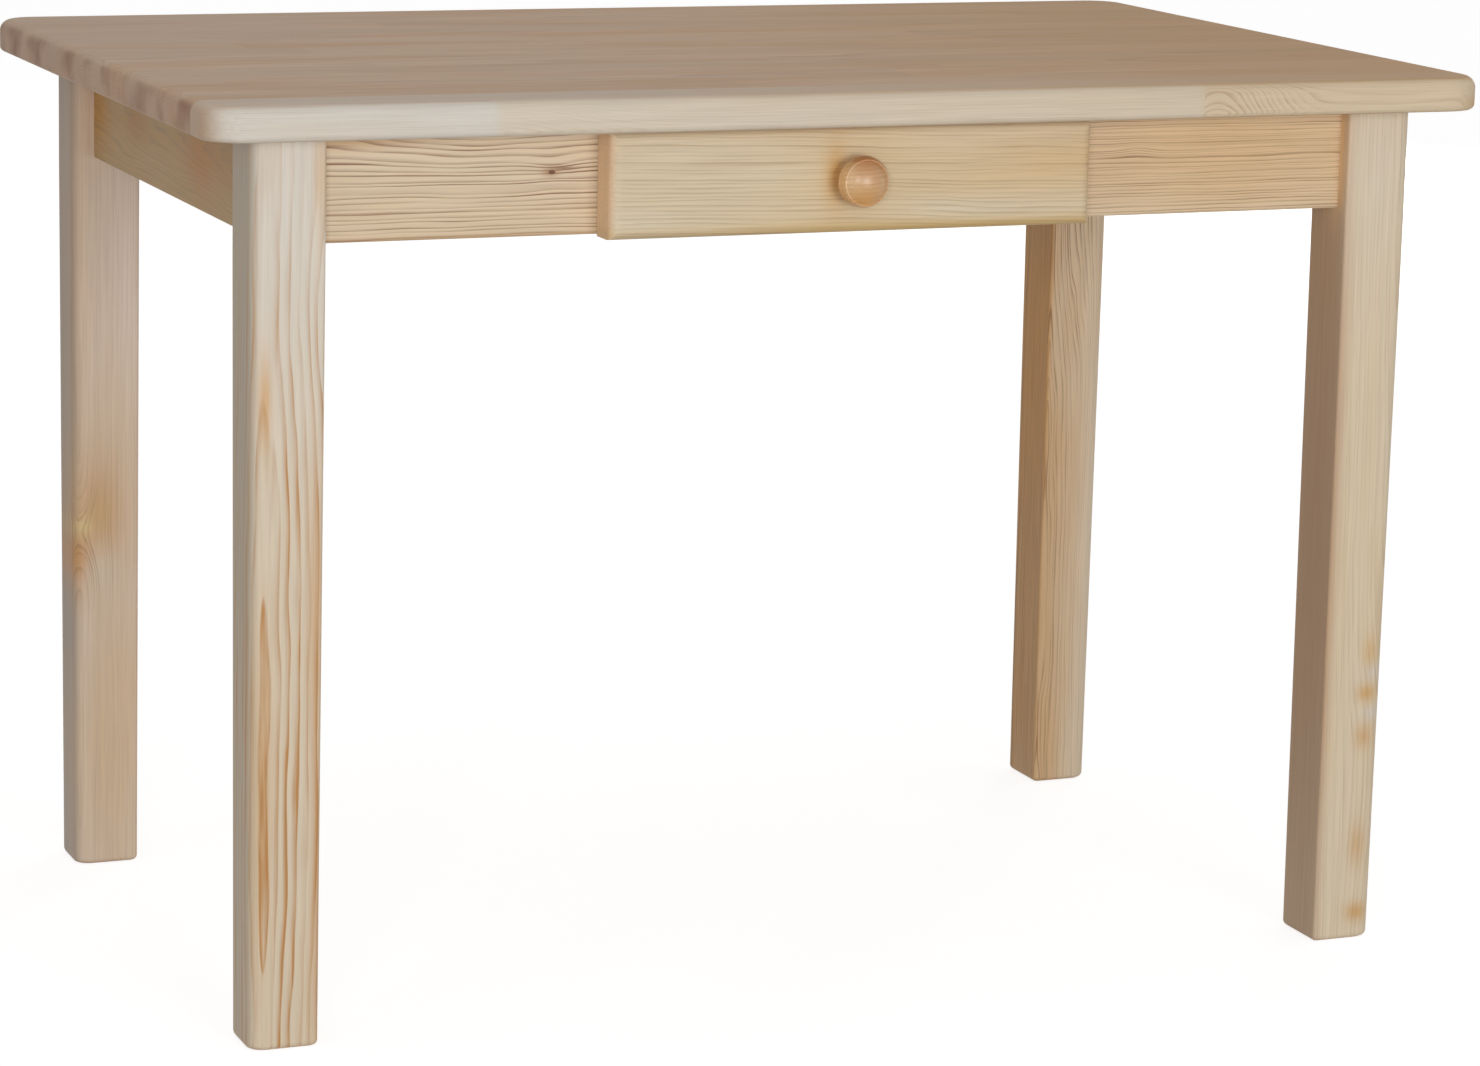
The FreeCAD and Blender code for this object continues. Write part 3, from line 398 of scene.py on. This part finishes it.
# Oiled pine, planed: plain boards with open arches, and one round knot in the back one
rings = dict(pith=(440, 0, 660), lean=(-40, 0, 30), ring=4.4, wave=2.0, line=0.7)
ground = dict(sap="#D6BEA0", warm="#CFA876", warmth=0.6)
dress(pine("planed_pine_apron_right", ALONG_Y, rings, ground, late="#96703F"), "apron_right")
rings = dict(pith=(0, 330, 650), lean=(0, 30, -20), ring=4.2, wave=2.0, line=0.8,
             flares=[((180, -APRON_Y, 676), (26, 40, 16), 7.0)])
ground = dict(sap="#D8C1A4", warm="#D2AC7E", warmth=0.6)
knots = [((180, -APRON_Y, 672), ALONG_Y, 7.0, 5.0, "#7A4A26")]
dress(pine("planed_pine_apron_back", ALONG_X, rings, ground, late="#956A3E", knots=knots), "apron_back")

# Corner blocks, cleats, runners and guide strips: sawn pine offcuts out of sight under the top.
# The blocks run across the corners, the cleats along the end aprons, the runners from front to back.
DIAGONAL_SHARE = math.sqrt(0.5)
SAWN_FINISH = dict(late="#A0743F", rough=0.66)
rings = dict(pith=(0, 0, 640), ring=4.6, wave=2.0)
ground = dict(sap="#D8BE98")
for corner, turn in (("front_left", -1), ("front_right", 1), ("back_left", 1), ("back_right", -1)):
    across = (DIAGONAL_SHARE, turn * DIAGONAL_SHARE, 0)
    dress(pine("sawn_pine_block_" + corner, across, rings, ground, **SAWN_FINISH), "corner_block_" + corner)
rings = dict(pith=(30, 0, 590), lean=(20, 0, 10), ring=4.8, wave=2.0)
dress(pine("sawn_pine_strip", ALONG_Y, rings, ground, **SAWN_FINISH),
      "top_cleat_left", "top_cleat_right", "drawer_runner_left", "drawer_runner_right",
      "drawer_guide_left", "drawer_guide_right")

# Dowels: rolled beech pegs, glued into the aprons, legs, runners and drawer corners.
# Beech is a plain pinkish brown, peppered with short dark flecks.
FLECK_SIZE = 0.9
DOWEL_RELIEF = 0.0002        # in metres
beech, tree, point = start_material("rolled_beech_dowel")
fleck = add(tree, "TexNoise", {}, {"Vector": point, "Scale": 1 / FLECK_SIZE, "Detail": 3.0})
fleck_share = add(tree, "MapRange", {}, {"Value": fleck, "From Min": 0.55, "From Max": 0.7, "To Max": 0.7})
beech_colour = add(tree, "Mix", {"data_type": "RGBA"}, {0: fleck_share, 6: "#CBA37A", 7: "#9A6B45"}, 2)
beech_relief = add(tree, "Bump", {}, {"Strength": 0.2, "Distance": DOWEL_RELIEF, "Height": fleck})
beech_shader = add(tree, "BsdfPrincipled", {},
                   {"Base Color": beech_colour, "Roughness": 0.6, "Normal": beech_relief})
add(tree, "OutputMaterial", {}, {"Surface": beech_shader})
dress(beech, "apron_dowels", "runner_dowels", "drawer_dowels")

# Fasteners: hanger bolts with washers and nuts, wood screws, panel pins and the knob's screw.
# All are steel with a thin zinc plating, bluish grey, with a faint cloudy crystal bloom.
BLOOM_SIZE = 1.6
zinc, tree, point = start_material("zinc_plated_steel")
bloom = add(tree, "TexVoronoi", {}, {"Vector": point, "Scale": 1 / BLOOM_SIZE}, "Color")
bloom_share = add(tree, "SeparateColor", {}, {"Color": bloom})
zinc_colour = add(tree, "Mix", {"data_type": "RGBA"}, {0: bloom_share, 6: "#A9ADB2", 7: "#C6C9CC"}, 2)
zinc_gloss = add(tree, "MapRange", {}, {"Value": bloom_share, "To Min": 0.28, "To Max": 0.45})
zinc_shader = add(tree, "BsdfPrincipled", {},
                  {"Base Color": zinc_colour, "Roughness": zinc_gloss, "Metallic": 1.0})
add(tree, "OutputMaterial", {}, {"Surface": zinc_shader})
dress(zinc, "corner_bolts", "corner_washers", "corner_nuts", "corner_block_screws", "cleat_screws",
      "top_screws", "drawer_bottom_pins", "drawer_front_screws", "drawer_knob_screw")

# Top: staves of pine, each end-jointed from shorter lengths, glued edge to edge, planed and rounded over.
# Every length comes from another tree, so rings, tone and warmth change from stave to stave and along one.
# Oiled and rubbed down, it is brownish pink, warmer to the right, with fine streaks along the grain.
STAVE_COUNT = 14
STAVE_WIDTH = (cad_high.y - cad_low.y) * MM / STAVE_COUNT
STOCK_LENGTH = 620.0         # of the pieces that a stave is joined from
END_BAND = 50.0              # dark and light patches on the sawn ends
TOP_Z, TOP_FRONT = cad_high.z * MM, cad_low.y * MM
TOP_MIDDLE = (TOP_Z + leg_high.z * MM) / 2
FIRST_PITH, PITH_SPREAD = (0, -30, 60), (0, 110, -150)    # where the pith may lie, from a stave's front edge
TOP_SAP, TOP_WARM = "#D7B99C", "#CDA47C"
TOP_WARM_RIGHT = ((560, 0, TOP_Z), (460, 900, 100), "#C29660", 0.82)
TOP_GREY_BACK = ((-560, 350, TOP_Z), (420, 300, 100), "#C2A992", 0.6)
material, tree, point = start_material("planed_pine_top")
part_xyz = add(tree, "SeparateXYZ", {}, {"Vector": point}).node.outputs
from_front = add(tree, "Math", {"operation": "SUBTRACT"}, {0: part_xyz["Y"], 1: TOP_FRONT})
stave = add(tree, "Math", {"operation": "DIVIDE"}, {0: from_front, 1: STAVE_WIDTH})
stave = add(tree, "Math", {"operation": "FLOOR"}, {0: stave})
offset = add(tree, "TexWhiteNoise", {"noise_dimensions": "1D"}, {"W": stave}, "Value")
length = add(tree, "Math", {"operation": "DIVIDE"}, {0: part_xyz["X"], 1: STOCK_LENGTH})
length = add(tree, "Math", {"operation": "ADD"}, {0: length, 1: offset})
length = add(tree, "Math", {"operation": "FLOOR"}, {0: length})
both = add(tree, "CombineXYZ", {}, {"X": stave, "Y": length})
luck = add(tree, "TexWhiteNoise", {}, {"Vector": both}, "Color")
edge_y = add(tree, "Math", {"operation": "MULTIPLY_ADD"}, {0: stave, 1: STAVE_WIDTH, 2: TOP_FRONT})
edge = add(tree, "CombineXYZ", {}, {"Y": edge_y, "Z": TOP_MIDDLE})
pith = add(tree, "VectorMath", {"operation": "MULTIPLY_ADD"}, {0: luck, 1: PITH_SPREAD, 2: edge})
pith = add(tree, "VectorMath", {"operation": "ADD"}, {0: pith, 1: FIRST_PITH})
lots = add(tree, "SeparateColor", {}, {"Color": luck}).node.outputs
tone = add(tree, "MapRange", {}, {"Value": lots["Red"], "To Min": 0.95, "To Max": 1.05})
warmth = add(tree, "MapRange", {}, {"Value": lots["Green"], "To Min": 0.3, "To Max": 1.0})
bands = add(tree, "TexNoise", {}, {"Vector": point, "Scale": 1 / END_BAND, "Detail": 2.0})
bands = add(tree, "MapRange", {"interpolation_type": "SMOOTHSTEP"},
            {"Value": bands, "From Min": 0.38, "From Max": 0.7})
end = add(tree, "Mix", {"data_type": "RGBA"}, {0: bands, 6: "#EEE8E8", 7: "#BAA398"}, 2)
rings = dict(pith=pith, lean=(0, 8, 14), ring=4.0, wave=1.4, ripple=0.6, line=0.5)
ground = dict(sap=TOP_SAP, warm=TOP_WARM, warmth=warmth, patches=[TOP_WARM_RIGHT, TOP_GREY_BACK])
finish_pine(material, tree, point, ALONG_X, rings, ground, late="#A4744A", tone=tone, end=end, rough=0.62)
dress(material, *["top_stave_%02d" % number for number in range(2, STAVE_COUNT + 1)])

# Front stave of the top: the one whose edge faces the room, end-jointed from three lengths of sap wood.
# The left length's edge is almost white, the next one's faintly arched, the right one's yellower with close
# nested arcs. Their upper faces were oiled with the rest of the top and look like it, greyer at the left.
JOINT_LEFT, JOINT_RIGHT = -322.0, 282.0
JOINT_BLUR = 5.0             # the left joint is hard to see
LEFT_PITH, MIDDLE_PITH, RIGHT_PITH = (0, -330, 640), (0, -390, 700), (0, -230, 765)
LEFT_RING, RIGHT_RING = 1.5, 2.0
LEFT_ARCH, RIGHT_ARCH = -12.0, 26.0    # how far the rings swell beside a joint
RIGHT_BOLD = 2.0             # how much stronger the arcs right of the joint are
TOP_GREY_FRONT = ((-350, -330, TOP_Z), (380, 60, 100), "#D6C8B8", 0.75)
material, tree, point = start_material("planed_pine_front_stave")
stave_x = add(tree, "SeparateXYZ", {}, {"Vector": point})
past_left = add(tree, "MapRange", {}, {"Value": stave_x, "From Min": JOINT_LEFT - JOINT_BLUR,
                                       "From Max": JOINT_LEFT + JOINT_BLUR})
past_right = add(tree, "Math", {"operation": "GREATER_THAN"}, {0: stave_x, 1: JOINT_RIGHT})
yellowing = add(tree, "MapRange", {}, {"Value": stave_x, "From Min": JOINT_RIGHT - JOINT_BLUR,
                                       "From Max": JOINT_RIGHT + JOINT_BLUR})
pith = add(tree, "Mix", {"data_type": "VECTOR"}, {0: past_left, 4: LEFT_PITH, 5: MIDDLE_PITH}, 1)
pith = add(tree, "Mix", {"data_type": "VECTOR"}, {0: past_right, 4: pith, 5: RIGHT_PITH}, 1)
ring = add(tree, "Mix", {"data_type": "FLOAT"}, {0: past_right, 2: LEFT_RING, 3: RIGHT_RING})
sap = add(tree, "Mix", {"data_type": "RGBA"}, {0: past_left, 6: "#DBD3C8", 7: "#DBCEBA"}, 2)
sap = add(tree, "Mix", {"data_type": "RGBA"}, {0: yellowing, 6: sap, 7: "#DCC7A9"}, 2)
to_room = facing(tree, ALONG_Y, start=0.3, full=0.7)
upper = ground_colour(tree, point, ALONG_X, sap=TOP_SAP, warm=TOP_WARM, warmth=0.6,
                      patches=[TOP_WARM_RIGHT, TOP_GREY_FRONT])
sap = add(tree, "Mix", {"data_type": "RGBA"}, {0: to_room, 6: upper, 7: sap}, 2)
arch_left = add(tree, "Math", {"operation": "MULTIPLY"}, {0: past_left, 1: LEFT_ARCH})
arch_right = add(tree, "Math", {"operation": "MULTIPLY"}, {0: past_right, 1: RIGHT_ARCH})
strong = add(tree, "Math", {"operation": "MULTIPLY"}, {0: past_right, 1: RIGHT_BOLD})
rings = dict(pith=pith, ring=ring, uneven=0.4, wave=0.8, line=0.22,
             flares=[((JOINT_LEFT, TOP_FRONT, TOP_MIDDLE), (90, 60, 40), arch_left),
                     ((JOINT_RIGHT + 12, TOP_FRONT, TOP_MIDDLE), (56, 60, 200), arch_right)],
             bold=[((JOINT_RIGHT + 40, TOP_FRONT, TOP_MIDDLE), (62, 60, 60), strong)])
ground = dict(sap=sap, warm="#D3BC98", warmth=0.3,
              patches=[((540, TOP_FRONT, 728), (14, 60, 6), "#D2AC7C", 0.6)])
finish_pine(material, tree, point, ALONG_X, rings, ground, late="#A87A4C", end="#F0E6E0", rough=0.6)
dress(material, "top_stave_01")

# Drawer box: a grooved box of thin planed pine, dowelled at its corners.
# Its sides run on the runners, and the inner front carries the thick overlay board.
BOX_FINISH = dict(late="#A67D50", rough=0.6)
ground = dict(sap="#DCC7A6")
rings = dict(pith=(-20, 0, 560), lean=(30, 0, 20), ring=4.0, wave=1.6, line=0.6)
dress(pine("planed_pine_drawer_side", ALONG_Y, rings, ground, **BOX_FINISH),
      "drawer_side_left", "drawer_side_right")
rings = dict(pith=(0, -240, 600), lean=(0, 20, 20), ring=4.0, wave=1.6, line=0.6)
dress(pine("planed_pine_drawer_end", ALONG_X, rings, ground, **BOX_FINISH),
      "drawer_inner_front", "drawer_back")

# Drawer bottom: thin birch plywood that slides into the grooves and is pinned up into the back.
# The rotary-cut face veneer is pale, with broad soft waves and fine short fibres.
rings = dict(pith=(0, 0, 300), lean=(0, 0, 40), ring=1.6, wave=1.6, line=0.25)
ground = dict(sap="#E0CCA9", warm="#D9BE94")
dress(pine("rotary_cut_birch_plywood", ALONG_X, rings, ground, late="#BE9A6C"), "drawer_bottom")

# Drawer front: a thick planed board with rounded edges that covers the opening, screwed on from the box.
# Its rings run nearly straight and close, paler than the aprons, warmer towards the right and along the lower
# edge, where the round shows heart wood, and plain and pinkish on the sawn left end. Round the knob a warm
# glow of light bounced off it is painted, with a painted warm shadow left of it.
DRAWER_FACE_Y, KNOB_X = -320, -11
SAWN_END = (-219, -305, 678)
rings = dict(pith=(0, -300, 480), lean=(0, 0, -30), ring=3.6, uneven=0.8, wave=1.6, ripple=1.1, line=0.6,
             bold=[(SAWN_END, (8, 60, 120), -0.9)])
ground = dict(sap="#DED0B6", warm="#DCC29A", warmth=0.5,
              patches=[((190, DRAWER_FACE_Y, 690), (170, 60, 30), "#D9B276", 0.62),
                       (SAWN_END, (3.5, 60, 120), "#EFCBA5", 0.95),
                       # painted light: a warm glow of light bounced off the knob
                       ((KNOB_X, DRAWER_FACE_Y, 682), (70, 60, 50), "#DFC28E", 0.5),
                       # painted shade: a warm shadow left of the knob
                       ((KNOB_X - 18, DRAWER_FACE_Y, 681), (9, 60, 24), "#D29A48", 0.75),
                       ((100, DRAWER_FACE_Y, 636), (330, 60, 8), "#CFA85E", 0.8)])
dress(pine("planed_pine_drawer_front", ALONG_X, rings, ground, late="#A07A4C", end="#FFFFFF"), "drawer_front")

# Knob: turned from a darker, oiled and waxed piece of pine, fixed by a screw from inside the drawer.
# The lathe leaves it smooth, so it has a soft broad highlight, and its grain runs level across the dome.
rings = dict(pith=(0, -345, 655), lean=(0, 0, 60), ring=3.6, wave=0.8, line=0.5)
ground = dict(sap="#CFA473", warm="#C0884C", warmth=0.7,
              patches=[((KNOB_X, -340, 698), (30, 30, 12), "#B5733A", 0.8),
                       # painted light: the rim's left side, which lies in shade, is made pale as if lit
                       ((KNOB_X - 22, -330, 678), (10, 16, 30), "#FFE6B2", 0.95),
                       ((KNOB_X, -345, 658), (30, 30, 12), "#D08F26", 0.95)])
dress(pine("turned_waxed_knob", ALONG_X, rings, ground, late="#9A6430", rough=0.42, wax=0.8), "drawer_knob")

# Studio: a white floor that keeps a soft shadow and is clear from below, a pale room and large soft lamps.
# Three lamps stand low before the table, so the fronts are bright, the top is dimmer and the left ends are
# shaded, and one stands low behind it. Sizes and places are in metres.
FLOOR_HALF = 40.0
corners = np.array([(-1, -1, 0), (1, -1, 0), (1, 1, 0), (-1, 1, 0)]) * FLOOR_HALF
floor_mesh = bpy.data.meshes.new("studio_floor")
floor_mesh.from_pydata(corners.tolist(), [], [(0, 1, 2, 3)])
floor = bpy.data.objects.new("studio_floor", floor_mesh)
bpy.context.scene.collection.objects.link(floor)


def seen_share(tree):
    """1 for a ray that shows the background, straight or in metal or glass, 0 for one that gathers light."""
    ray = add(tree, "LightPath", {}, {}).node.outputs
    seen = add(tree, "Math", {"operation": "ADD"}, {0: ray["Is Camera Ray"], 1: ray["Is Transmission Ray"]})
    return add(tree, "Math", {"operation": "ADD", "use_clamp": True}, {0: seen, 1: ray["Is Glossy Ray"]})


# White paper: matt, and seen by the eye a little brighter than it lights the table
floor_material, tree, _ = start_material("white_floor_paper")
paper = add(tree, "BsdfDiffuse", {}, {"Color": "#C4C4C4"})
soft = add(tree, "BsdfDiffuse", {}, {"Color": "#B4B4B4"})
glow = add(tree, "Emission", {}, {"Color": "#FFFFFF", "Strength": 0.8})
bright = add(tree, "AddShader", {}, {0: soft, 1: glow})
mixed = add(tree, "MixShader", {}, {0: seen_share(tree), 1: paper, 2: bright})
clear = add(tree, "BsdfTransparent", {}, {})
below = add(tree, "NewGeometry", {}, {}, "Backfacing")
mixed = add(tree, "MixShader", {}, {0: below, 1: mixed, 2: clear})
add(tree, "OutputMaterial", {}, {"Surface": mixed})
floor_mesh.materials.append(floor_material)

# Pale room: more of its light comes from the ceiling than from the walls, and to the eye it is white
WALL_LIGHT, CEILING_LIGHT = 0.2, 0.5
world = bpy.data.worlds.new("pale_room")
bpy.context.scene.world = world
world.use_nodes = True
tree = world.node_tree
tree.nodes.clear()
way = add(tree, "TexCoord", {}, {}, "Generated")
upward = add(tree, "SeparateXYZ", {}, {"Vector": way}, "Z")
level = add(tree, "MapRange", {}, {"Value": upward, "To Min": WALL_LIGHT, "To Max": CEILING_LIGHT})
level = add(tree, "MapRange", {}, {"Value": seen_share(tree), "To Min": level, "To Max": 1.0})
sky = add(tree, "Background", {}, {"Color": "#FFFFFF", "Strength": level})
add(tree, "OutputWorld", {}, {"Surface": sky})

TABLE_MIDDLE = (0, 0, 0.5)


def soft_lamp(name, place, width, watts):
    """A square soft lamp at a place, turned to the table's middle."""
    lamp = bpy.data.lights.new(name, "AREA")
    lamp.shape = "SQUARE"
    lamp.size = width
    lamp.energy = watts
    stand = bpy.data.objects.new(name, lamp)
    bpy.context.scene.collection.objects.link(stand)
    toward = np.array(TABLE_MIDDLE) - np.array(place)
    flat = math.hypot(toward[0], toward[1])
    turn = Matrix.Rotation(-math.atan2(toward[0], toward[1]), 4, "Z")
    tip = Matrix.Rotation(math.pi / 2 + math.atan2(toward[2], flat), 4, "X")
    stand.matrix_world = Matrix.Translation(place) @ turn @ tip


soft_lamp("front_lamp", place=(0.6, -6.0, 0.7), width=2.8, watts=144)
soft_lamp("left_lamp", place=(-2.8, -5.4, 1.5), width=1.3, watts=62)
soft_lamp("side_lamp", place=(-5.0, -2.5, 1.0), width=1.6, watts=20)
soft_lamp("back_lamp", place=(4.0, 4.2, 0.37), width=1.0, watts=130)

# Camera: at chest height before the table's left half, looking a little down, as the photo was taken.
# Its place, turn and focal length were fitted to the table's outline, and it is shifted only for the framing.
CAMERA_PLACE = (-1.4622, -3.5952, 1.1465)
CAMERA_TURN = 0.3912
CAMERA_TIP = 0.1761
CAMERA_ROLL = -0.0229
SENSOR_WIDTH = 36.0
PHOTO_WIDTH = 1480
FOCAL_PIXELS = 4548.0
SHIFT_SHARES = (0.0036, -0.1)
camera_data = bpy.data.cameras.new("camera")
camera_data.sensor_width = SENSOR_WIDTH
camera_data.lens = FOCAL_PIXELS / PHOTO_WIDTH * SENSOR_WIDTH
camera_data.shift_x, camera_data.shift_y = SHIFT_SHARES
camera = bpy.data.objects.new("camera", camera_data)
bpy.context.scene.collection.objects.link(camera)
heading = Matrix.Rotation(-CAMERA_TURN, 4, "Z")
tip = Matrix.Rotation(math.pi / 2 - CAMERA_TIP, 4, "X")
roll = Matrix.Rotation(-CAMERA_ROLL, 4, "Z")
camera.matrix_world = Matrix.Translation(CAMERA_PLACE) @ heading @ tip @ roll
bpy.context.scene.camera = camera
bpy.context.scene.view_settings.view_transform = "Standard"
